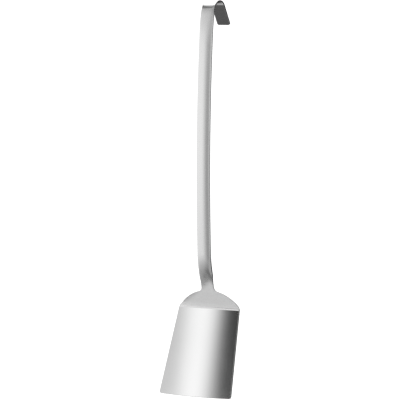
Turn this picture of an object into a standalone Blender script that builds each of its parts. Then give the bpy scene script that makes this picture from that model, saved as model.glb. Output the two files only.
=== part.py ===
"""A long kitchen turner of stainless sheet, hanging by the hook at the top of its handle.

The handle is a crowned strip, bowed a little forward, whose top is folded into a hook. Its lower
end is flattened into a neck. The blade starts at the neck, widens through a rounded shoulder, and
is bent forward across its full width. Both pieces are cut as flat blanks and then formed along one
side profile, so they always meet face to face at the neck.

The origin is the inside of the hook's crest, where a rail or a pin carries the turner. X runs
across the blade, -Y is the front, and Z is up.
"""

import math
from collections import namedtuple

import bmesh
import bpy

# Sheet and edges
SHEET_THICKNESS = 0.0020
EDGE_ROUNDING = 0.0006
JOINT_GAP = 0.0003

# Hook, from its free end over the crest to the top of the handle
HOOK_TAIL_LENGTH = 0.0244
HOOK_WIDTH = 0.0178
HOOK_TAIL_CORNER = 0.0020
HOOK_INNER_RADIUS = 0.0070
HOOK_TAIL_PITCH = math.radians(64.6)
HOOK_RISE_LENGTH = 0.0028
HOOK_RISE_PITCH = math.radians(41.0)
HOOK_FOLD_RADIUS = 0.0035
HOOK_FOLD_ANGLE = math.radians(24.4)
FOLD_EASE_RADIUS = 0.0370
FOLD_EASE_ANGLE = math.radians(15.87)
HOOK_FLARE_LENGTH = 0.0150

# Handle strip, from the fold down to the neck
STRIP_WIDTH = 0.0186
STRIP_CROWN = 0.0012
EDGE_ROLL = 0.0005
EDGE_ROLL_POWER = 8
CROWN_FOLD_SHARE = 0.4
CROWN_START_FADE = 0.0450
CROWN_END_FADE = 0.0160
CROWN_END_TO_JOINT = 0.0015
GRIP_TOP_LENGTH = 0.0219
GRIP_TOP_RADIUS = 0.2455
GRIP_LENGTH = 0.2445
GRIP_RADIUS = 2.4900
HEEL_LENGTH = 0.0170
HEEL_RADIUS = 0.1048

# Neck, shared by the handle's lower end and the blade's upper end
NECK_LENGTH = 0.0175
NECK_WIDTH = 0.0169
NECK_TAPER_LENGTH = 0.0123
TANG_LENGTH = 0.0032

# Blade, from the neck down to the tip
NECK_FILLET = 0.0056
SHOULDER_TOP_SLOPE = math.radians(12.0)
SHOULDER_END_SLOPE = math.radians(46.4)
SHOULDER_CORNER_RADIUS = 0.0066
CORNER_BELOW_BEND = 0.0027
BEND_RADIUS = 0.0101
BEND_ANGLE = math.radians(25.9)
BLADE_LENGTH = 0.1024
BLADE_TOP_WIDTH = 0.0870
BLADE_TIP_WIDTH = 0.1035
TIP_CORNER_RADIUS = 0.0025
TIP_BOW = 0.0010

# How finely curves are divided
TIGHT_BEND_STEP = math.radians(5.0)
SOFT_BEND_STEP = math.radians(0.5)
OUTLINE_STEP = math.radians(7.0)
LONG_OUTLINE_STEP = math.radians(3.0)
CROWN_COLUMNS = 10
CROWN_COLUMN_SPAN = 0.0154
FADE_ROWS = 8
TAPER_ROWS = 6
CORNER_ROWS = 6
TIP_ROWS = 12
RIM_SEGMENTS = 2
MIN_CUT_SPACING = 0.0001
SHARP_FROM = math.radians(40.0)

# Finish
STEEL_SHADE = 0.74
HANDLE_ROUGHNESS = 0.24
BLADE_ROUGHNESS = 0.26

Run = namedtuple("Run", "start length turn step y z heading")


def clear_scene():
    """Remove what the new file holds."""
    for item in list(bpy.data.objects):
        bpy.data.objects.remove(item, do_unlink=True)


def smooth(share):
    """Ease from 0 to 1 with level ends."""
    share = min(max(share, 0.0), 1.0)
    return share * share * (3.0 - 2.0 * share)


def straight(length):
    """Length, turn and step of a flat stretch."""
    return length, 0.0, TIGHT_BEND_STEP


def arc(radius, angle):
    """Length, turn and step of a tight bend."""
    return radius * abs(angle), angle, TIGHT_BEND_STEP


def curve(length, radius):
    """Length, turn and step of a soft curve."""
    return length, length / radius, SOFT_BEND_STEP


def shoulder_outline():
    """Half of the shoulder, as points (half width, distance below the neck's straight sides).

    Three tangent arcs: the fillet at the neck, the long arc of the shoulder and its corner. The
    long arc's radius follows from the widths, so that the corner lands on the blade's edge.
    """
    edge_slope = math.pi / 2 - blade_taper()
    neck = NECK_WIDTH / 2
    side = BLADE_TOP_WIDTH / 2
    corner_width = SHOULDER_CORNER_RADIUS * (math.sin(edge_slope) - math.sin(SHOULDER_END_SLOPE))
    fillet_width = NECK_FILLET * (1.0 - math.sin(SHOULDER_TOP_SLOPE))
    slope_gain = math.sin(SHOULDER_END_SLOPE) - math.sin(SHOULDER_TOP_SLOPE)
    long_radius = (side - corner_width - neck - fillet_width) / slope_gain
    arcs = [
        (NECK_FILLET, math.pi / 2, SHOULDER_TOP_SLOPE, OUTLINE_STEP),
        (long_radius, SHOULDER_TOP_SLOPE, SHOULDER_END_SLOPE, LONG_OUTLINE_STEP),
        (SHOULDER_CORNER_RADIUS, SHOULDER_END_SLOPE, edge_slope, OUTLINE_STEP),
    ]
    x, drop = neck, 0.0
    points = [(x, drop)]
    for radius, first, last, step in arcs:
        rows = math.ceil(abs(last - first) / step)
        for i in range(1, rows + 1):
            slope = first + (last - first) * i / rows
            run_x = radius * abs(math.sin(slope) - math.sin(first))
            run_drop = radius * abs(math.cos(slope) - math.cos(first))
            points.append((x + run_x, drop + run_drop))
        x, drop = points[-1]
    return points


def blade_taper():
    """Angle of the blade's long edges, which spread towards the tip."""
    spread = (BLADE_TIP_WIDTH - BLADE_TOP_WIDTH) / 2
    return math.atan2(spread, BLADE_LENGTH - CORNER_BELOW_BEND)


def side_profile():
    """The runs of the sheet's middle, from the hook's free end to the blade's tip.

    A heading of 0 points forward, a quarter turn points down. The crest's centre lies one inner
    radius below the origin, and the tail is laid back from where the crest starts.
    """
    shoulder_drop = shoulder_outline()[-1][1]
    bend = arc(BEND_RADIUS, -BEND_ANGLE)
    flat = NECK_LENGTH + TANG_LENGTH + shoulder_drop - CORNER_BELOW_BEND - bend[0]
    middle_radius = HOOK_INNER_RADIUS + SHEET_THICKNESS / 2
    plan = {
        "tail": straight(HOOK_TAIL_LENGTH),
        "crest": arc(middle_radius, HOOK_TAIL_PITCH + HOOK_RISE_PITCH),
        "rise": straight(HOOK_RISE_LENGTH),
        "fold": arc(HOOK_FOLD_RADIUS, HOOK_FOLD_ANGLE),
        "ease": arc(FOLD_EASE_RADIUS, FOLD_EASE_ANGLE),
        "grip_top": curve(GRIP_TOP_LENGTH, GRIP_TOP_RADIUS),
        "grip": curve(GRIP_LENGTH, GRIP_RADIUS),
        "heel": curve(HEEL_LENGTH, HEEL_RADIUS),
        "flat": straight(flat),
        "bend": bend,
        "blade": straight(BLADE_LENGTH),
    }
    heading = -HOOK_TAIL_PITCH
    y = -middle_radius * math.sin(heading) + HOOK_TAIL_LENGTH * math.cos(heading)
    z = -HOOK_INNER_RADIUS + middle_radius * math.cos(heading) + HOOK_TAIL_LENGTH * math.sin(heading)
    start = 0.0
    runs = {}
    for name, (length, turn, step) in plan.items():
        runs[name] = Run(start, length, turn, step, y, z, heading)
        y, z, heading = along(runs[name], length)
        start += length
    return runs


def along(run, distance):
    """Place and heading at a distance into one run."""
    if run.turn == 0.0:
        y = run.y - distance * math.cos(run.heading)
        z = run.z - distance * math.sin(run.heading)
        return y, z, run.heading
    rate = run.turn / run.length
    heading = run.heading + rate * distance
    y = run.y - (math.sin(heading) - math.sin(run.heading)) / rate
    z = run.z + (math.cos(heading) - math.cos(run.heading)) / rate
    return y, z, heading


def on_profile(runs, s):
    """Place and heading at a distance along the whole profile."""
    last = list(runs.values())[-1]
    for run in runs.values():
        if s <= run.start + run.length or run is last:
            return along(run, s - run.start)


def joint_place(runs):
    """Distance along the profile where the handle ends and the blade starts."""
    return runs["flat"].start + NECK_LENGTH


def crown_height(runs, s, x):
    """How far the strip stands in front of its edges: a low crown whose edges roll back.

    The crown starts in the hook's rise, has its share of the full height once the strip is past
    the fold, and grows to the full height down the top of the grip.
    """
    start = runs["rise"].start
    fold_end = runs["ease"].start
    end = joint_place(runs) - CROWN_END_TO_JOINT
    before = CROWN_FOLD_SHARE * smooth((s - start) / (fold_end - start))
    after = (1.0 - CROWN_FOLD_SHARE) * smooth((s - fold_end) / CROWN_START_FADE)
    fall = smooth((end - s) / CROWN_END_FADE)
    across = min(abs(x) / (STRIP_WIDTH / 2), 1.0)
    section = STRIP_CROWN * (1.0 - across * across) + EDGE_ROLL * (1.0 - across ** EDGE_ROLL_POWER)
    return section * (before + after) * fall


def handle_outline(runs):
    """Half of the handle's flat blank, as points (half width, s) from its free end to the joint."""
    hook, strip, neck = HOOK_WIDTH / 2, STRIP_WIDTH / 2, NECK_WIDTH / 2
    half = []
    for i in range(CORNER_ROWS + 1):
        angle = math.pi / 2 * i / CORNER_ROWS
        x = hook - HOOK_TAIL_CORNER * (1.0 - math.sin(angle))
        half.append((x, HOOK_TAIL_CORNER * (1.0 - math.cos(angle))))
    for i in range(TAPER_ROWS + 1):
        share = i / TAPER_ROWS
        s = runs["ease"].start + HOOK_FLARE_LENGTH * share
        half.append((hook + (strip - hook) * smooth(share), s))
    joint = joint_place(runs)
    end = joint - JOINT_GAP / 2
    for i in range(TAPER_ROWS + 1):
        share = i / TAPER_ROWS
        s = joint - NECK_TAPER_LENGTH * (1.0 - share)
        half.append((strip + (neck - strip) * smooth(share), min(s, end)))
    return half


def blade_outline(runs):
    """Half of the blade's flat blank, as points (half width, s) from the joint to the tip's middle."""
    top = joint_place(runs) + JOINT_GAP / 2
    fillet_start = joint_place(runs) + TANG_LENGTH
    half = [(NECK_WIDTH / 2, top)]
    half += [(x, fillet_start + drop) for x, drop in shoulder_outline()]
    tip = runs["blade"].start + BLADE_LENGTH
    taper = blade_taper()
    bow_radius = (BLADE_TIP_WIDTH / 2) ** 2 / (2.0 * TIP_BOW)
    side = BLADE_TIP_WIDTH / 2 - TIP_BOW * math.tan(taper)
    centre_x = side - TIP_CORNER_RADIUS / math.cos(taper) - TIP_CORNER_RADIUS * math.tan(taper)
    corner_turn = math.asin(centre_x / (bow_radius - TIP_CORNER_RADIUS))
    centre_s = tip - bow_radius + (bow_radius - TIP_CORNER_RADIUS) * math.cos(corner_turn)
    for i in range(CORNER_ROWS + 1):
        angle = -taper + (math.pi / 2 - corner_turn + taper) * i / CORNER_ROWS
        x = centre_x + TIP_CORNER_RADIUS * math.cos(angle)
        half.append((x, centre_s + TIP_CORNER_RADIUS * math.sin(angle)))
    for i in range(1, TIP_ROWS):
        angle = corner_turn * (1.0 - i / TIP_ROWS)
        half.append((bow_radius * math.sin(angle), tip - bow_radius * (1.0 - math.cos(angle))))
    return half + [(0.0, tip)]


def bend_cuts(runs, names):
    """Distances along the profile where the sheet needs an edge across it to be able to bend."""
    cuts = []
    for name in names:
        run = runs[name]
        count = math.ceil(abs(run.turn) / run.step)
        cuts += [run.start + run.length * i / count for i in range(count + 1)]
    return cuts


def flat_blank(half, joint_end):
    """A flat plate, one sheet thick, whose rims are marked to be rounded.

    X and Y of the plate are the outline's x and s, and its Z is the place within the sheet. The
    outline runs down the left side and up the right side, so that its front looks forward once it
    is formed. The rims at joint_end meet the other piece and stay sharp.
    """
    right = [(x, s) for x, s in reversed(half) if x > 0.0]
    outline = [(-x, s) for x, s in half] + right
    plate = bmesh.new()
    front = [plate.verts.new((x, s, SHEET_THICKNESS / 2)) for x, s in outline]
    back = [plate.verts.new((x, s, -SHEET_THICKNESS / 2)) for x, s in outline]
    plate.faces.new(front)
    plate.faces.new(reversed(back))
    rounding = plate.edges.layers.float.new("bevel_weight_edge")
    for i in range(len(outline)):
        j = (i + 1) % len(outline)
        plate.faces.new((front[j], front[i], back[i], back[j]))
        if outline[i][1] == joint_end and outline[j][1] == joint_end:
            continue
        plate.edges.get((front[i], front[j]))[rounding] = 1.0
        plate.edges.get((back[i], back[j]))[rounding] = 1.0
    return plate


def cut_across(plate, place, normal):
    """Add an edge loop where a plane crosses the plate."""
    geometry = plate.verts[:] + plate.edges[:] + plate.faces[:]
    bmesh.ops.bisect_plane(plate, geom=geometry, dist=MIN_CUT_SPACING, plane_co=place, plane_no=normal)


def form(plate, runs, crown):
    """Bend the flat plate to the profile, and press the crown into it."""
    for vert in plate.verts:
        x, s, level = vert.co
        y, z, heading = on_profile(runs, s)
        if crown:
            level += crown_height(runs, s, x)
        vert.co = (x, y - math.sin(heading) * level, z + math.cos(heading) * level)


def steel(name, roughness):
    """Brushed stainless steel."""
    material = bpy.data.materials.new(name)
    material.use_nodes = True
    shader = material.node_tree.nodes["Principled BSDF"]
    shader.inputs["Base Color"].default_value = (STEEL_SHADE, STEEL_SHADE, STEEL_SHADE, 1.0)
    shader.inputs["Metallic"].default_value = 1.0
    shader.inputs["Roughness"].default_value = roughness
    return material


def add_piece(name, plate, material):
    """Turn a formed plate into an object with rounded rims."""
    mesh = bpy.data.meshes.new(name)
    plate.to_mesh(mesh)
    plate.free()
    mesh.materials.append(material)
    mesh.shade_smooth()
    mesh.set_sharp_from_angle(angle=SHARP_FROM)
    piece = bpy.data.objects.new(name, mesh)
    bpy.context.scene.collection.objects.link(piece)
    bevel = piece.modifiers.new("rounded_rims", "BEVEL")
    bevel.limit_method = "WEIGHT"
    bevel.width = EDGE_ROUNDING
    bevel.segments = RIM_SEGMENTS
    return piece


def make_handle(runs):
    """The strip with its hook, crown and neck."""
    plate = flat_blank(handle_outline(runs), joint_place(runs) - JOINT_GAP / 2)
    rows = bend_cuts(runs, ("crest", "fold", "ease", "grip_top", "grip", "heel"))
    joint = joint_place(runs)
    rows += [runs["rise"].start + HOOK_RISE_LENGTH * i / TAPER_ROWS for i in range(1, TAPER_ROWS)]
    for i in range(1, FADE_ROWS + 1):
        rows.append(runs["ease"].start + CROWN_START_FADE * i / FADE_ROWS)
        rows.append(joint - CROWN_END_TO_JOINT - CROWN_END_FADE * (1.0 - (i - 1) / FADE_ROWS))
    for s in sorted(rows):
        cut_across(plate, (0.0, s, 0.0), (0.0, 1.0, 0.0))
    for i in range(CROWN_COLUMNS + 1):
        x = CROWN_COLUMN_SPAN * (i / CROWN_COLUMNS - 0.5)
        cut_across(plate, (x, 0.0, 0.0), (1.0, 0.0, 0.0))
    form(plate, runs, True)
    return add_piece("handle", plate, steel("handle_steel", HANDLE_ROUGHNESS))


def make_blade(runs):
    """The shoulder and the blade below its bend."""
    plate = flat_blank(blade_outline(runs), joint_place(runs) + JOINT_GAP / 2)
    for s in bend_cuts(runs, ("bend",)):
        cut_across(plate, (0.0, s, 0.0), (0.0, 1.0, 0.0))
    form(plate, runs, False)
    return add_piece("blade", plate, steel("blade_steel", BLADE_ROUGHNESS))


def build():
    """Make the turner."""
    clear_scene()
    runs = side_profile()
    make_handle(runs)
    make_blade(runs)


build()
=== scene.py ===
"""A long stainless kitchen turner, hanging by its hook in front of a white studio backdrop.

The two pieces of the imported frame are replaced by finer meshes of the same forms: the strip handle
with its folded hook, crown and neck, and the blade with its tang, rounded shoulder and bend. Both
are cut as flat blanks and formed along one side profile. Each blank keeps its flat coordinates as
a UV map in metres, so the grain of the steel follows the sheet round every bend.
"""

import math
from collections import namedtuple

import bmesh
import bpy
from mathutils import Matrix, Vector


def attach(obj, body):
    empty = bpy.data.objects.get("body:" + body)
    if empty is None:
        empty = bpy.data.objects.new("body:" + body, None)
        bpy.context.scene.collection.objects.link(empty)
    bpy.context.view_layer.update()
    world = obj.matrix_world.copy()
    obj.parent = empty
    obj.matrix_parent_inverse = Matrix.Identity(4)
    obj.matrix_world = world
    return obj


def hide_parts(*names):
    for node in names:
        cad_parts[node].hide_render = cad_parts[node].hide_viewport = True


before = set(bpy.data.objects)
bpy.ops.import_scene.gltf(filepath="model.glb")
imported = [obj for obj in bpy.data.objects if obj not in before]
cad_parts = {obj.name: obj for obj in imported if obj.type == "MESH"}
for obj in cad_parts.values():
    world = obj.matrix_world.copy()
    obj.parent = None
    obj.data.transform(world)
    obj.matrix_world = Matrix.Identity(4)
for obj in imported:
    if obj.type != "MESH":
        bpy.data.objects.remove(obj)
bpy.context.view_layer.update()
scene = bpy.context.scene
scene.view_settings.view_transform = "Standard"

# Sheet and edges
SHEET_THICKNESS = 0.0020
EDGE_ROUNDING = 0.0006

# Hook, from its free end over the crest to the top of the handle
HOOK_TAIL_LENGTH = 0.0244
HOOK_WIDTH = 0.0178
HOOK_TAIL_CORNER = 0.0020
HOOK_INNER_RADIUS = 0.0070
HOOK_TAIL_PITCH = math.radians(64.6)
HOOK_RISE_LENGTH = 0.0028
HOOK_RISE_PITCH = math.radians(41.0)
HOOK_FOLD_RADIUS = 0.0035
HOOK_FOLD_ANGLE = math.radians(24.4)
FOLD_EASE_RADIUS = 0.0370
FOLD_EASE_ANGLE = math.radians(15.87)
HOOK_FLARE_LENGTH = 0.0150

# Handle strip, from the fold down to the neck
STRIP_WIDTH = 0.0186
STRIP_CROWN = 0.0012
EDGE_ROLL = 0.0005
EDGE_ROLL_POWER = 8
CROWN_FOLD_SHARE = 0.4
CROWN_START_FADE = 0.0450
CROWN_END_FADE = 0.0160
CROWN_END_TO_JOINT = 0.0015
GRIP_TOP_LENGTH = 0.0219
GRIP_TOP_RADIUS = 0.2455
GRIP_LENGTH = 0.2445
GRIP_RADIUS = 2.4900
HEEL_LENGTH = 0.0170
HEEL_RADIUS = 0.1048

# Neck, shared by the handle's lower end and the blade's upper end
NECK_LENGTH = 0.0175
NECK_WIDTH = 0.0169
NECK_TAPER_LENGTH = 0.0123
TANG_LENGTH = 0.0032

# Blade, from the neck down to the tip
NECK_FILLET = 0.0056
SHOULDER_TOP_SLOPE = math.radians(12.0)
SHOULDER_END_SLOPE = math.radians(46.4)
SHOULDER_CORNER_RADIUS = 0.0066
CORNER_BELOW_BEND = 0.0027
BEND_RADIUS = 0.0101
BEND_ANGLE = math.radians(25.9)
BLADE_LENGTH = 0.1024
BLADE_TOP_WIDTH = 0.0870
BLADE_TIP_WIDTH = 0.1035
TIP_CORNER_RADIUS = 0.0025
TIP_BOW = 0.0010

# How finely curves are divided
TIGHT_BEND_STEP = math.radians(2.0)
SOFT_BEND_STEP = math.radians(0.25)
OUTLINE_STEP = math.radians(4.0)
LONG_OUTLINE_STEP = math.radians(1.5)
CROWN_COLUMNS = 16
CROWN_COLUMN_SPAN = 0.0154
FADE_ROWS = 20
TAPER_ROWS = 12
CORNER_ROWS = 10
TIP_ROWS = 24
RIM_SEGMENTS = 4
MIN_CUT_SPACING = 0.00005
SHARP_FROM = math.radians(50.0)

# Camera, as the photograph was taken. Its azimuth and pitch are in degrees.
CAMERA_AZIMUTH = 40.0
CAMERA_PITCH = 3.208
CAMERA_DISTANCE = 4.3196
CAMERA_AIM = Vector((0.0, -0.024263, -0.219731))
CAMERA_LENS = 349.92

# Steel: its colour, and the roughness of its polished parts. The hook is smoother than the grip.
STEEL_COLOUR = (0.745, 0.745, 0.745)
HOOK_ROUGHNESS = 0.10
HOOK_FINISH_END = 0.044
HANDLE_FINISH_START = 0.056
HANDLE_ROUGHNESS = 0.21
BLADE_ROUGHNESS = 0.10

# The steel's noises, each as (scale per metre of sheet, detail, roughness of the detail)
GRAIN_NOISE = (3500.0, 3.0, 0.60)
CLOUD_NOISE = (60.0, 3.0, 0.55)
MOTTLE_NOISE = (420.0, 4.0, 0.65)
PEBBLE_NOISE = (4000.0, 2.0, 0.50)
NOISE_MIDDLE = 0.5

# Brushed grain and faint clouds on the polished parts
GRAIN_STRETCH = (1.0, 0.03, 1.0)
GRAIN_ROUGHNESS = 0.04
GRAIN_SHADE = 0.04
CLOUD_ROUGHNESS = 0.02
CLOUD_SHADE = 0.03
SCRATCH_DEPTH = 0.0000004

# Blasted matte stretch round the neck and shoulder
MATTE_ROUGHNESS = 0.68
MATTE_METALLIC = 0.40
# Painted light: the blasted stretch is a real finish, but its colour is lifted this much above the
# steel's to brighten it
MATTE_PAINTED_LIGHT = 1.24
MATTE_POINT = 0.0045
MATTE_POINT_SLOPE = 0.6
MATTE_UNEVENNESS = 0.006
MATTE_FADE = 0.010
MATTE_BEFORE_JOINT = 0.0077
MATTE_PAST_BEND = 0.0010
MATTE_END_FADE = 0.0006
MOTTLE_ROUGHNESS = 0.12
MOTTLE_SHADE = 0.22
PEBBLE_DEPTH = 0.000004

# Burnished line just below the matte stretch
LINE_WIDTH = 0.0017
LINE_TILT = math.radians(16.0)

# Painted shade of the cut edges, as (distance along the profile, shade): dark round the hook and the
# neck, standing in for the dark reflections and shade on them
EDGE_PAINTED_SHADES = [
    (0.000, 0.10), (0.004, 0.16), (0.010, 0.24), (0.016, 0.20), (0.022, 0.05), (0.034, 0.03),
    (0.042, 0.25), (0.050, 0.33), (0.056, 0.86), (0.255, 0.82), (0.310, 0.82), (0.322, 0.62),
    (0.330, 0.18), (0.345, 0.10), (0.352, 0.28), (0.360, 0.60), (0.380, 0.55), (0.386, 0.50),
    (0.500, 0.50),
]
EDGE_SOFTNESS = 0.08

# Where a new stop of a ramp stands until its own place is set
NEW_STOP = 0.5

Run = namedtuple("Run", "start length turn step y z heading")


def smooth(share):
    """Ease from 0 to 1 with level ends."""
    share = min(max(share, 0.0), 1.0)
    return share * share * (3.0 - 2.0 * share)


def straight(length):
    """Length, turn and step of a flat stretch."""
    return length, 0.0, TIGHT_BEND_STEP


def arc(radius, angle):
    """Length, turn and step of a tight bend."""
    return radius * abs(angle), angle, TIGHT_BEND_STEP


def curve(length, radius):
    """Length, turn and step of a soft curve."""
    return length, length / radius, SOFT_BEND_STEP


def blade_taper():
    """Angle of the blade's long edges, which spread towards the tip."""
    spread = (BLADE_TIP_WIDTH - BLADE_TOP_WIDTH) / 2
    return math.atan2(spread, BLADE_LENGTH - CORNER_BELOW_BEND)


def shoulder_outline():
    """Half of the shoulder, as points (half width, distance below the neck's straight sides).

    Three tangent arcs: the fillet at the neck, the long arc of the shoulder and its corner.
    """
    edge_slope = math.pi / 2 - blade_taper()
    neck = NECK_WIDTH / 2
    side = BLADE_TOP_WIDTH / 2
    corner_width = SHOULDER_CORNER_RADIUS * (math.sin(edge_slope) - math.sin(SHOULDER_END_SLOPE))
    fillet_width = NECK_FILLET * (1.0 - math.sin(SHOULDER_TOP_SLOPE))
    slope_gain = math.sin(SHOULDER_END_SLOPE) - math.sin(SHOULDER_TOP_SLOPE)
    long_radius = (side - corner_width - neck - fillet_width) / slope_gain
    arcs = [
        (NECK_FILLET, math.pi / 2, SHOULDER_TOP_SLOPE, OUTLINE_STEP),
        (long_radius, SHOULDER_TOP_SLOPE, SHOULDER_END_SLOPE, LONG_OUTLINE_STEP),
        (SHOULDER_CORNER_RADIUS, SHOULDER_END_SLOPE, edge_slope, OUTLINE_STEP),
    ]
    x, drop = neck, 0.0
    points = [(x, drop)]
    for radius, first, last, step in arcs:
        rows = math.ceil(abs(last - first) / step)
        for i in range(1, rows + 1):
            slope = first + (last - first) * i / rows
            run_x = radius * abs(math.sin(slope) - math.sin(first))
            run_drop = radius * abs(math.cos(slope) - math.cos(first))
            points.append((x + run_x, drop + run_drop))
        x, drop = points[-1]
    return points


def along(run, distance):
    """Place and heading at a distance into one run."""
    if run.turn == 0.0:
        y = run.y - distance * math.cos(run.heading)
        z = run.z - distance * math.sin(run.heading)
        return y, z, run.heading
    rate = run.turn / run.length
    heading = run.heading + rate * distance
    y = run.y - (math.sin(heading) - math.sin(run.heading)) / rate
    z = run.z + (math.cos(heading) - math.cos(run.heading)) / rate
    return y, z, heading


def side_profile():
    """The runs of the sheet's middle, from the hook's free end to the blade's tip.

    A heading of 0 points forward, a quarter turn points down. The crest's centre lies one inner
    radius below the origin.
    """
    shoulder_drop = shoulder_outline()[-1][1]
    bend = arc(BEND_RADIUS, -BEND_ANGLE)
    flat = NECK_LENGTH + TANG_LENGTH + shoulder_drop - CORNER_BELOW_BEND - bend[0]
    middle_radius = HOOK_INNER_RADIUS + SHEET_THICKNESS / 2
    plan = {
        "tail": straight(HOOK_TAIL_LENGTH),
        "crest": arc(middle_radius, HOOK_TAIL_PITCH + HOOK_RISE_PITCH),
        "rise": straight(HOOK_RISE_LENGTH),
        "fold": arc(HOOK_FOLD_RADIUS, HOOK_FOLD_ANGLE),
        "ease": arc(FOLD_EASE_RADIUS, FOLD_EASE_ANGLE),
        "grip_top": curve(GRIP_TOP_LENGTH, GRIP_TOP_RADIUS),
        "grip": curve(GRIP_LENGTH, GRIP_RADIUS),
        "heel": curve(HEEL_LENGTH, HEEL_RADIUS),
        "flat": straight(flat),
        "bend": bend,
        "blade": straight(BLADE_LENGTH),
    }
    heading = -HOOK_TAIL_PITCH
    sine, cosine = math.sin(heading), math.cos(heading)
    y = HOOK_TAIL_LENGTH * cosine - middle_radius * sine
    z = HOOK_TAIL_LENGTH * sine + middle_radius * cosine - HOOK_INNER_RADIUS
    start = 0.0
    runs = {}
    for name, (length, turn, step) in plan.items():
        runs[name] = Run(start, length, turn, step, y, z, heading)
        y, z, heading = along(runs[name], length)
        start += length
    return runs


def on_profile(runs, s):
    """Place and heading at a distance along the whole profile."""
    last = list(runs.values())[-1]
    for run in runs.values():
        if s <= run.start + run.length or run is last:
            return along(run, s - run.start)


def joint_place(runs):
    """Distance along the profile where the handle ends and the blade starts."""
    return runs["flat"].start + NECK_LENGTH


def crown_height(runs, s, x):
    """How far the strip stands in front of its edges: a low crown whose edges roll back.

    The crown starts in the hook's rise, has its share of the full height once the strip is past
    the fold, and grows to the full height down the top of the grip.
    """
    start = runs["rise"].start
    fold_end = runs["ease"].start
    end = joint_place(runs) - CROWN_END_TO_JOINT
    before = CROWN_FOLD_SHARE * smooth((s - start) / (fold_end - start))
    after = (1.0 - CROWN_FOLD_SHARE) * smooth((s - fold_end) / CROWN_START_FADE)
    fall = smooth((end - s) / CROWN_END_FADE)
    across = min(abs(x) / (STRIP_WIDTH / 2), 1.0)
    section = STRIP_CROWN * (1.0 - across * across) + EDGE_ROLL * (1.0 - across ** EDGE_ROLL_POWER)
    return section * (before + after) * fall


def handle_outline(runs):
    """Half of the handle's flat blank, as points (half width, s) from its free end to the joint."""
    hook, strip, neck = HOOK_WIDTH / 2, STRIP_WIDTH / 2, NECK_WIDTH / 2
    half = []
    for i in range(CORNER_ROWS + 1):
        angle = math.pi / 2 * i / CORNER_ROWS
        x = hook - HOOK_TAIL_CORNER * (1.0 - math.sin(angle))
        half.append((x, HOOK_TAIL_CORNER * (1.0 - math.cos(angle))))
    for i in range(TAPER_ROWS + 1):
        share = i / TAPER_ROWS
        s = runs["ease"].start + HOOK_FLARE_LENGTH * share
        half.append((hook + (strip - hook) * smooth(share), s))
    joint = joint_place(runs)
    for i in range(TAPER_ROWS + 1):
        share = i / TAPER_ROWS
        s = joint - NECK_TAPER_LENGTH * (1.0 - share)
        half.append((strip + (neck - strip) * smooth(share), s))
    return half


def blade_outline(runs):
    """Half of the blade's flat blank, as points (half width, s) from the joint to the tip."""
    top = joint_place(runs)
    fillet_start = top + TANG_LENGTH
    half = [(NECK_WIDTH / 2, top)]
    half += [(x, fillet_start + drop) for x, drop in shoulder_outline()]
    tip = runs["blade"].start + BLADE_LENGTH
    taper = blade_taper()
    bow_radius = (BLADE_TIP_WIDTH / 2) ** 2 / (2.0 * TIP_BOW)
    side = BLADE_TIP_WIDTH / 2 - TIP_BOW * math.tan(taper)
    centre_x = side - TIP_CORNER_RADIUS / math.cos(taper) - TIP_CORNER_RADIUS * math.tan(taper)
    corner_turn = math.asin(centre_x / (bow_radius - TIP_CORNER_RADIUS))
    centre_s = tip - bow_radius + (bow_radius - TIP_CORNER_RADIUS) * math.cos(corner_turn)
    for i in range(CORNER_ROWS + 1):
        angle = -taper + (math.pi / 2 - corner_turn + taper) * i / CORNER_ROWS
        x = centre_x + TIP_CORNER_RADIUS * math.cos(angle)
        half.append((x, centre_s + TIP_CORNER_RADIUS * math.sin(angle)))
    for i in range(1, TIP_ROWS):
        angle = corner_turn * (1.0 - i / TIP_ROWS)
        half.append((bow_radius * math.sin(angle), tip - bow_radius * (1.0 - math.cos(angle))))
    return half + [(0.0, tip)]


def bend_cuts(runs, names):
    """Distances along the profile where the sheet needs an edge across it to be able to bend."""
    cuts = []
    for name in names:
        run = runs[name]
        count = math.ceil(abs(run.turn) / run.step)
        cuts += [run.start + run.length * i / count for i in range(count + 1)]
    return cuts


def flat_blank(half, joint_end):
    """A flat plate, one sheet thick, whose rims are marked to be rounded, except at joint_end."""
    right = [(x, s) for x, s in reversed(half) if x > 0.0]
    outline = [(-x, s) for x, s in half] + right
    plate = bmesh.new()
    front = [plate.verts.new((x, s, SHEET_THICKNESS / 2)) for x, s in outline]
    back = [plate.verts.new((x, s, -SHEET_THICKNESS / 2)) for x, s in outline]
    plate.faces.new(front)
    plate.faces.new(reversed(back))
    rounding = plate.edges.layers.float.new("bevel_weight_edge")
    for i in range(len(outline)):
        j = (i + 1) % len(outline)
        plate.faces.new((front[j], front[i], back[i], back[j]))
        if outline[i][1] == joint_end and outline[j][1] == joint_end:
            continue
        plate.edges.get((front[i], front[j]))[rounding] = 1.0
        plate.edges.get((back[i], back[j]))[rounding] = 1.0
    return plate


def cut_across(plate, place, normal):
    """Add an edge loop where a plane crosses the plate."""
    geometry = plate.verts[:] + plate.edges[:] + plate.faces[:]
    plane = {"plane_co": place, "plane_no": normal}
    bmesh.ops.bisect_plane(plate, geom=geometry, dist=MIN_CUT_SPACING, **plane)


def keep_flat_map(plate):
    """Store each corner's place on the flat sheet as a UV map, in metres, and its place through it.

    The second map runs from -1 on the back to 1 on the front, so only cut edges lie between.
    """
    flat = plate.loops.layers.uv.new("sheet")
    through = plate.loops.layers.uv.new("through")
    for face in plate.faces:
        for loop in face.loops:
            x, s, level = loop.vert.co
            loop[flat].uv = (x, s)
            loop[through].uv = (level / (SHEET_THICKNESS / 2), 0.0)


def form(plate, runs, crown):
    """Bend the flat plate to the profile, and press the crown into it."""
    for vert in plate.verts:
        x, s, level = vert.co
        y, z, heading = on_profile(runs, s)
        if crown:
            level += crown_height(runs, s, x)
        vert.co = (x, y - math.sin(heading) * level, z + math.cos(heading) * level)


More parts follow.
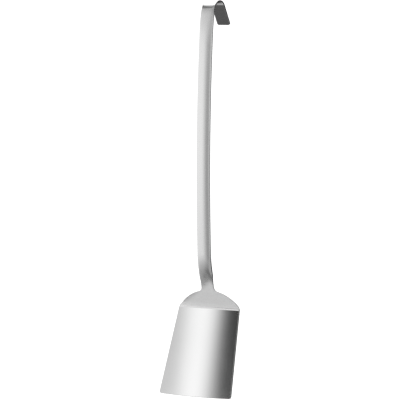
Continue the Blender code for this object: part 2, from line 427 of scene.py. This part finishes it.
def add_piece(name, plate, node, material):
    """Turn a formed plate into a piece with rounded rims that stands for a node of the frame."""
    mesh = bpy.data.meshes.new(name)
    plate.to_mesh(mesh)
    plate.free()
    mesh.materials.append(material)
    mesh.shade_smooth()
    mesh.set_sharp_from_angle(angle=SHARP_FROM)
    piece = bpy.data.objects.new(name, mesh)
    scene.collection.objects.link(piece)
    bevel = piece.modifiers.new("rounded_rims", "BEVEL")
    bevel.limit_method = "WEIGHT"
    bevel.width = EDGE_ROUNDING
    bevel.segments = RIM_SEGMENTS
    flat_shading = piece.modifiers.new("flat_faces_shade_flat", "WEIGHTED_NORMAL")
    flat_shading.keep_sharp = True
    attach(piece, "root")
    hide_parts(node)


def make_handle(runs, material):
    """The strip with its hook, crown and neck."""
    joint = joint_place(runs)
    plate = flat_blank(handle_outline(runs), joint)
    rows = bend_cuts(runs, ("crest", "fold", "ease", "grip_top", "grip", "heel"))
    rows += [runs["rise"].start + HOOK_RISE_LENGTH * i / TAPER_ROWS for i in range(1, TAPER_ROWS)]
    for i in range(1, FADE_ROWS + 1):
        rows.append(runs["ease"].start + CROWN_START_FADE * i / FADE_ROWS)
        rows.append(joint - CROWN_END_TO_JOINT - CROWN_END_FADE * (1.0 - (i - 1) / FADE_ROWS))
    for s in sorted(rows):
        cut_across(plate, (0.0, s, 0.0), (0.0, 1.0, 0.0))
    for i in range(CROWN_COLUMNS + 1):
        x = CROWN_COLUMN_SPAN * (i / CROWN_COLUMNS - 0.5)
        cut_across(plate, (x, 0.0, 0.0), (1.0, 0.0, 0.0))
    keep_flat_map(plate)
    form(plate, runs, True)
    add_piece("handle_strip", plate, "handle", material)


def make_blade(runs, material):
    """The tang, the shoulder and the blade below its bend."""
    plate = flat_blank(blade_outline(runs), joint_place(runs))
    for s in bend_cuts(runs, ("bend",)):
        cut_across(plate, (0.0, s, 0.0), (0.0, 1.0, 0.0))
    keep_flat_map(plate)
    form(plate, runs, False)
    add_piece("blade_plate", plate, "blade", material)


class Graph:
    """Short calls that add and link the nodes of one material."""

    def __init__(self, tree):
        self.tree = tree
        self.tree.nodes.clear()

    def node(self, kind, inputs=None, **settings):
        """Add a node, set its properties, and set or link its inputs."""
        made = self.tree.nodes.new(kind)
        for key, value in settings.items():
            setattr(made, key, value)
        for key, value in (inputs or {}).items():
            if isinstance(value, bpy.types.NodeSocket):
                self.tree.links.new(value, made.inputs[key])
            else:
                made.inputs[key].default_value = value
        return made

    def math(self, operation, first, second=0.0, third=0.0):
        """One number worked out from up to three."""
        inputs = {0: first, 1: second, 2: third}
        return self.node("ShaderNodeMath", inputs, operation=operation).outputs[0]

    def map(self, value, start=0.0, end=1.0, first=0.0, last=1.0, kind="LINEAR"):
        """A number that goes from first to last as the value goes from start to end."""
        inputs = {0: value, 1: start, 2: end, 3: first, 4: last}
        return self.node("ShaderNodeMapRange", inputs, interpolation_type=kind).outputs[0]

    def ease(self, value, start=0.0, end=1.0):
        """0 at start and 1 at end, with level ends."""
        return self.map(value, start, end, kind="SMOOTHSTEP")

    def varied(self, base, noise, amount):
        """The base, plus an amount times how far the noise is above its middle."""
        off_middle = self.math("SUBTRACT", noise, NOISE_MIDDLE)
        return self.math("MULTIPLY_ADD", off_middle, amount, base)

    def split(self, vector):
        """The three numbers of a vector."""
        return self.node("ShaderNodeSeparateXYZ", {0: vector}).outputs

    def ramp(self, value, stops):
        """A curve through (place, level) stops, which are in order."""
        low, high = stops[0][0], stops[-1][0]
        made = self.node("ShaderNodeValToRGB", {0: self.map(value, low, high)})
        elements = made.color_ramp.elements
        while len(elements) < len(stops):
            elements.new(NEW_STOP)
        for element, (place, level) in zip(elements, stops):
            element.position = (place - low) / (high - low)
            element.color = (level, level, level, 1.0)
        return made.outputs[0]

    def noise(self, vector, settings):
        """Noise from 0 to 1, with its scale, detail and roughness."""
        scale, detail, roughness = settings
        inputs = {"Vector": vector, "Scale": scale, "Detail": detail, "Roughness": roughness}
        return self.node("ShaderNodeTexNoise", inputs).outputs["Fac"]


def new_material(name):
    """An empty node material and its graph."""
    material = bpy.data.materials.new(name)
    material.use_nodes = True
    return material, Graph(material.node_tree)


def matte_mask(graph, x, s, mottle, matte_from, matte_to):
    """1 in the blasted stretch and 0 outside it.

    It starts at an uneven line that rises to a point a little right of the middle, and ends in a
    straight line across the blade.
    """
    from_point = graph.math("ABSOLUTE", graph.math("SUBTRACT", x, MATTE_POINT))
    start = graph.math("MULTIPLY_ADD", from_point, MATTE_POINT_SLOPE, matte_from)
    start = graph.varied(start, mottle, MATTE_UNEVENNESS)
    into = graph.math("DIVIDE", graph.math("SUBTRACT", s, start), MATTE_FADE)
    out = graph.math("DIVIDE", graph.math("SUBTRACT", matte_to, s), MATTE_END_FADE)
    return graph.math("MULTIPLY", graph.ease(into), graph.ease(out))


def cut_edge_painted_shade(graph, s):
    """1 on the sheet's two faces, and the cut edges' painted shade between them."""
    through = graph.node("ShaderNodeUVMap", uv_map="through").outputs[0]
    off_middle = graph.math("ABSOLUTE", graph.split(through)[0])
    inside = graph.math("SUBTRACT", 1.0, off_middle)
    return graph.map(inside, 0.0, EDGE_SOFTNESS, 1.0, graph.ramp(s, EDGE_PAINTED_SHADES))


def steel(name, roughness, runs, burnished_line):
    """Stainless steel, brushed along the sheet, with a blasted matte stretch round the neck. Its
    colour holds painted light on the matte stretch and painted shade on the cut edges.

    burnished_line adds the polished line where the matte stretch ends, below the bend.
    """
    matte_from = joint_place(runs) - MATTE_BEFORE_JOINT
    matte_to = runs["blade"].start + MATTE_PAST_BEND
    material, graph = new_material(name)
    flat = graph.node("ShaderNodeUVMap", uv_map="sheet").outputs[0]
    x, s = graph.split(flat)[:2]

    # Brushed grain: long thin streaks along the sheet, in the roughness and as shallow scratches
    stretch = {0: flat, 1: GRAIN_STRETCH}
    streaks = graph.node("ShaderNodeVectorMath", stretch, operation="MULTIPLY").outputs[0]
    grain = graph.noise(streaks, GRAIN_NOISE)
    cloud = graph.noise(flat, CLOUD_NOISE)
    mottle = graph.noise(flat, MOTTLE_NOISE)
    matte = matte_mask(graph, x, s, mottle, matte_from, matte_to)

    # Roughness: polished, with the grain and faint clouds, or blasted
    finish = {"first": HOOK_ROUGHNESS, "last": roughness, "kind": "SMOOTHSTEP"}
    polished = graph.map(s, HOOK_FINISH_END, HANDLE_FINISH_START, **finish)
    polished = graph.varied(polished, grain, GRAIN_ROUGHNESS)
    polished = graph.varied(polished, cloud, CLOUD_ROUGHNESS)
    blasted = graph.varied(MATTE_ROUGHNESS, mottle, MOTTLE_ROUGHNESS)
    rough = graph.map(matte, first=polished, last=blasted)

    # Shade: faint streaks and clouds, a mottled matte stretch lightened by painted light, and cut
    # edges darkened by painted shade
    shade = graph.varied(1.0, grain, GRAIN_SHADE)
    shade = graph.varied(shade, cloud, CLOUD_SHADE)
    # The matte stretch's colour: painted light that lifts it above the steel, mottled at random
    blotch_and_painted_light = graph.varied(MATTE_PAINTED_LIGHT, mottle, MOTTLE_SHADE)
    shade = graph.map(matte, first=shade, last=blotch_and_painted_light)
    shade = graph.math("MULTIPLY", shade, cut_edge_painted_shade(graph, s))
    colour = {0: STEEL_COLOUR, "Scale": shade}
    colour = graph.node("ShaderNodeVectorMath", colour, operation="SCALE").outputs[0]

    # Relief: scratches in the polished part, a fine pebbled surface in the blasted part
    relief = graph.map(matte, first=grain, last=graph.noise(flat, PEBBLE_NOISE))
    depth = graph.map(matte, first=SCRATCH_DEPTH, last=PEBBLE_DEPTH)
    bump = {"Strength": 1.0, "Distance": depth, "Height": relief}
    if burnished_line:
        drop = LINE_WIDTH * math.tan(LINE_TILT)
        slope = graph.map(s, matte_to, matte_to + LINE_WIDTH, drop, 0.0)
        line = graph.node("ShaderNodeBump", {"Strength": 1.0, "Distance": 1.0, "Height": slope})
        bump["Normal"] = line.outputs[0]

    inputs = {
        "Base Color": colour,
        "Metallic": graph.map(matte, first=1.0, last=MATTE_METALLIC),
        "Roughness": rough,
        "Normal": graph.node("ShaderNodeBump", bump).outputs[0],
    }
    shader = graph.node("ShaderNodeBsdfPrincipled", inputs)
    graph.node("ShaderNodeOutputMaterial", {"Surface": shader.outputs[0]})
    return material


# Studio, in metres, and in degrees from the turner's middle. Azimuth 0 is in front of the turner
# and grows towards +X.
STUDIO_CENTRE = Vector((0.0, -0.02, -0.20))
DOME_RADIUS = 6.0
DOME_SEGMENTS = 64
DOME_RINGS = 32
FLOOR_HEIGHT = -0.50
FLOOR_SIZE = 600.0
WHITE = (1.0, 1.0, 1.0, 1.0)
DIFFUSE_WORLD = 0.60
FLOOR_COLOUR = (0.90, 0.90, 0.90, 1.0)
FLOOR_LIFT = 0.78
FLOOR_LAMP_AZIMUTH = -70.0
FLOOR_LAMP_ELEVATION = 62.0
FLOOR_LAMP_DISTANCE = 2.2
FLOOR_LAMP_SIZE = 1.2
FLOOR_LAMP_RADIANCE = 1.6

# Brightness of the studio's wall, as (elevation, brightness)
WALL_LEVELS = [
    (-90.0, 1.20), (-58.0, 1.10), (-52.0, 0.80), (-46.0, 0.44), (-42.0, 0.34), (-36.0, 0.34),
    (-34.0, 0.36), (-30.0, 0.41), (-26.0, 0.44), (-22.0, 0.43), (-18.0, 0.51), (-15.0, 0.66),
    (-12.0, 0.81), (-8.0, 0.94), (-5.0, 1.02), (0.0, 1.09), (4.0, 1.06), (8.0, 0.95), (12.0, 0.84),
    (15.0, 0.77), (20.0, 0.68), (25.0, 0.61), (28.0, 0.53), (33.5, 0.53), (35.5, 1.05), (41.0, 1.0),
    (52.0, 1.0), (60.0, 1.30), (90.0, 1.30),
]

# Darker and brighter parts of the wall: first and last azimuth, first and last elevation, how
# softly each pair of edges fades, how much further left the part lies per degree of elevation, how
# much higher per degree of azimuth from its middle, and the brightness
WallPart = namedtuple("WallPart", "left right low high side_fade edge_fade lean tilt level")
WALL_PARTS = [
    WallPart(-18.0, 4.0, -12.0, 5.0, 22.0, 6.0, 0.5, 0.0, 0.39),
    WallPart(-21.0, 4.0, 11.0, 90.0, 22.0, 6.0, 0.0, 0.0, 0.70),
    WallPart(-33.0, -22.0, -90.0, -26.0, 15.0, 8.0, 0.0, 0.0, 0.45),
    WallPart(-30.0, -21.0, -11.0, -4.0, 7.0, 4.0, 0.0, 0.0, 0.84),
    WallPart(-26.0, -10.0, -21.0, -16.0, 8.0, 3.0, 0.0, 0.0, 0.84),
    WallPart(130.0, 150.0, -9.0, 5.0, 8.0, 6.0, 0.0, 0.0, 0.22),
    WallPart(-75.0, -20.0, 31.0, 34.7, 15.0, 1.2, 0.0, 0.27, 0.20),
    WallPart(-75.0, -58.0, 30.3, 45.0, 8.0, 0.8, 0.0, 0.27, 1.60),
    WallPart(-150.0, -60.0, 43.0, 90.0, 20.0, 3.0, 0.0, 0.0, 1.50),
    WallPart(-155.0, -125.0, 8.0, 42.0, 12.0, 6.0, 0.0, 0.0, 1.60),
    WallPart(-56.5, -50.5, -37.5, -34.0, 2.0, 1.0, 0.0, 0.0, 0.26),
    WallPart(-155.0, -108.0, -55.0, -22.0, 15.0, 6.0, 0.0, 0.0, 0.15),
]

# A slanted sheet in front of the blade, which glows downwards only, so that the blade's front
# reflects it and the handle above doesn't. The middles of its near and far ends, how far it reaches
# to each side and where it starts to fade there, the share of its length where it starts to gain
# towards its far end, and its brightness as (distance to the right of its middle line, brightness).
SHEET_NEAR = Vector((-0.0511, -0.0642, -0.3111))
SHEET_FAR = Vector((-0.2254, -0.2988, -0.3487))
SHEET_REACH = 0.100
SHEET_FADE_FROM = 0.055
SHEET_GAIN_FROM = 0.30
SHEET_GAIN = 1.09
SHEET_LEVELS = [
    (-0.100, 0.71), (-0.057, 0.71), (-0.047, 0.75), (-0.041, 0.81), (-0.035, 0.93), (-0.028, 1.08),
    (-0.022, 1.17), (-0.012, 1.25), (-0.006, 1.25), (0.000, 1.18), (0.007, 1.02), (0.013, 0.78),
    (0.020, 0.46), (0.026, 0.24), (0.032, 0.12), (0.039, 0.07), (0.100, 0.06),
]


def sphere_direction(azimuth, elevation):
    """Unit vector towards an azimuth and elevation in degrees. Azimuth 0 is -Y, 90 is +X."""
    a, e = math.radians(azimuth), math.radians(elevation)
    return Vector((math.sin(a) * math.cos(e), -math.cos(a) * math.cos(e), math.sin(e)))


def make_camera():
    """The camera, in front of the turner and to its right, looking slightly down."""
    back = sphere_direction(CAMERA_AZIMUTH, CAMERA_PITCH)
    data = bpy.data.cameras.new("camera")
    data.lens = CAMERA_LENS
    data.clip_end = FLOOR_SIZE
    camera = bpy.data.objects.new("camera", data)
    camera.location = CAMERA_AIM + back * CAMERA_DISTANCE
    camera.rotation_euler = (-back).to_track_quat("-Z", "Y").to_euler()
    scene.collection.objects.link(camera)
    scene.camera = camera


def glossy_only(thing):
    """The thing lights metal as a reflection, and nothing else sees it."""
    thing.visible_camera = False
    thing.visible_diffuse = False
    thing.visible_transmission = False
    thing.visible_volume_scatter = False
    thing.visible_shadow = False


def unlit(material):
    """The material's glow is seen where it is hit, and isn't aimed at as a lamp."""
    material.cycles.emission_sampling = "NONE"


def add_mesh_object(name, builder, location=(0.0, 0.0, 0.0)):
    """A stage object from a filled bmesh."""
    mesh = bpy.data.meshes.new(name)
    builder.to_mesh(mesh)
    builder.free()
    thing = bpy.data.objects.new(name, mesh)
    thing.location = location
    scene.collection.objects.link(thing)
    return thing


def window(graph, value, first, last, fade):
    """1 between first and last, fading to 0 outside them."""
    up = graph.ease(value, first - fade, first)
    down = graph.ease(value, last + fade, last)
    return graph.math("MULTIPLY", up, down)


def make_dome():
    """The studio's walls, as the steel reflects them."""
    sphere = bmesh.new()
    counts = {"u_segments": DOME_SEGMENTS, "v_segments": DOME_RINGS}
    bmesh.ops.create_uvsphere(sphere, radius=DOME_RADIUS, **counts)
    dome = add_mesh_object("studio_dome", sphere, STUDIO_CENTRE)
    material, graph = new_material("studio_wall")
    place = graph.node("ShaderNodeTexCoord").outputs["Object"]
    place = graph.node("ShaderNodeVectorMath", {0: place}, operation="NORMALIZE").outputs[0]
    x, y, z = graph.split(place)
    elevation = graph.math("DEGREES", graph.math("ARCSINE", z))
    azimuth = graph.math("DEGREES", graph.math("ARCTAN2", x, graph.math("MULTIPLY", y, -1.0)))
    level = graph.ramp(elevation, WALL_LEVELS)
    for part in WALL_PARTS:
        leaning = graph.math("MULTIPLY_ADD", elevation, part.lean, azimuth)
        across = window(graph, leaning, part.left, part.right, part.side_fade)
        from_middle = graph.math("SUBTRACT", azimuth, (part.left + part.right) / 2)
        tilted = graph.math("MULTIPLY_ADD", from_middle, -part.tilt, elevation)
        up = window(graph, tilted, part.low, part.high, part.edge_fade)
        share = graph.math("MULTIPLY", across, up)
        factor = graph.math("MULTIPLY_ADD", share, part.level - 1.0, 1.0)
        level = graph.math("MULTIPLY", level, factor)
    glow = graph.node("ShaderNodeEmission", {"Strength": level})
    graph.node("ShaderNodeOutputMaterial", {"Surface": glow.outputs[0]})
    unlit(material)
    dome.data.materials.append(material)
    glossy_only(dome)


def make_blade_sheet():
    """The slanted sheet that the blade reflects. It can't be seen from above."""
    sheet = bmesh.new()
    left, right = -SHEET_REACH, SHEET_REACH
    corners = [(SHEET_NEAR, left), (SHEET_NEAR, right), (SHEET_FAR, right), (SHEET_FAR, left)]
    verts = [sheet.verts.new(end + Vector((side, 0.0, 0.0))) for end, side in corners]
    face = sheet.faces.new(verts)
    place = sheet.loops.layers.uv.new("place")
    for loop, (end, side) in zip(face.loops, corners):
        loop[place].uv = (side, 1.0 if end is SHEET_FAR else 0.0)
    thing = add_mesh_object("blade_sheet", sheet)
    material, graph = new_material("blade_sheet")
    x, far = graph.split(graph.node("ShaderNodeUVMap").outputs[0])[:2]
    gain = graph.map(far, SHEET_GAIN_FROM, 1.0, 1.0, SHEET_GAIN)
    level = graph.math("MULTIPLY", graph.ramp(x, SHEET_LEVELS), gain)
    glow = graph.node("ShaderNodeEmission", {"Strength": level}).outputs[0]
    clear = graph.node("ShaderNodeBsdfTransparent").outputs[0]
    faded = graph.map(graph.math("ABSOLUTE", x), SHEET_FADE_FROM, SHEET_REACH)
    above = graph.node("ShaderNodeNewGeometry").outputs["Backfacing"]
    unseen = graph.math("MAXIMUM", above, faded)
    both = graph.node("ShaderNodeMixShader", {0: unseen, 1: glow, 2: clear})
    graph.node("ShaderNodeOutputMaterial", {"Surface": both.outputs[0]})
    unlit(material)
    thing.data.materials.append(material)
    glossy_only(thing)


def make_world():
    """White where the camera, a gloss or glass looks, and a little dimmer as fill light."""
    world = bpy.data.worlds.new("studio_light")
    scene.world = world
    world.use_nodes = True
    graph = Graph(world.node_tree)
    path = graph.node("ShaderNodeLightPath")
    seen = graph.math("MAXIMUM", path.outputs["Is Camera Ray"], path.outputs["Is Glossy Ray"])
    seen = graph.math("MAXIMUM", seen, path.outputs["Is Transmission Ray"])
    strength = graph.map(seen, first=DIFFUSE_WORLD, last=1.0)
    light = graph.node("ShaderNodeBackground", {"Color": WHITE, "Strength": strength})
    graph.node("ShaderNodeOutputWorld", {"Surface": light.outputs[0]})


def make_floor():
    """A plain pale floor under the hanging turner, which keeps its shadow."""
    plane = bmesh.new()
    bmesh.ops.create_grid(plane, x_segments=1, y_segments=1, size=FLOOR_SIZE / 2)
    floor = add_mesh_object("floor", plane, (0.0, 0.0, FLOOR_HEIGHT))
    material, graph = new_material("floor_paint")
    path = graph.node("ShaderNodeLightPath")
    lift = graph.math("MULTIPLY", path.outputs["Is Camera Ray"], FLOOR_LIFT)
    paint = graph.node("ShaderNodeBsdfDiffuse", {"Color": FLOOR_COLOUR})
    glow = graph.node("ShaderNodeEmission", {"Strength": lift})
    both = graph.node("ShaderNodeAddShader", {0: paint.outputs[0], 1: glow.outputs[0]})
    graph.node("ShaderNodeOutputMaterial", {"Surface": both.outputs[0]})
    unlit(material)
    floor.data.materials.append(material)
    floor.visible_glossy = False


def make_floor_lamp():
    """A soft square lamp from the upper left, which casts the turner's shadow on the floor."""
    data = bpy.data.lights.new("floor_softbox", "AREA")
    data.shape = "SQUARE"
    data.size = FLOOR_LAMP_SIZE
    data.energy = FLOOR_LAMP_RADIANCE * math.pi * FLOOR_LAMP_SIZE ** 2
    lamp = bpy.data.objects.new("floor_softbox", data)
    towards = sphere_direction(FLOOR_LAMP_AZIMUTH, FLOOR_LAMP_ELEVATION)
    lamp.location = STUDIO_CENTRE + towards * FLOOR_LAMP_DISTANCE
    lamp.rotation_euler = (-towards).to_track_quat("-Z", "Y").to_euler()
    lamp.visible_camera = False
    lamp.visible_glossy = False
    scene.collection.objects.link(lamp)


runs = side_profile()
make_camera()
handle_material = steel("handle_steel_satin", HANDLE_ROUGHNESS, runs, False)
blade_material = steel("blade_steel_brushed", BLADE_ROUGHNESS, runs, True)
make_handle(runs, handle_material)
make_blade(runs, blade_material)
make_world()
make_floor()
make_dome()
make_blade_sheet()
make_floor_lamp()
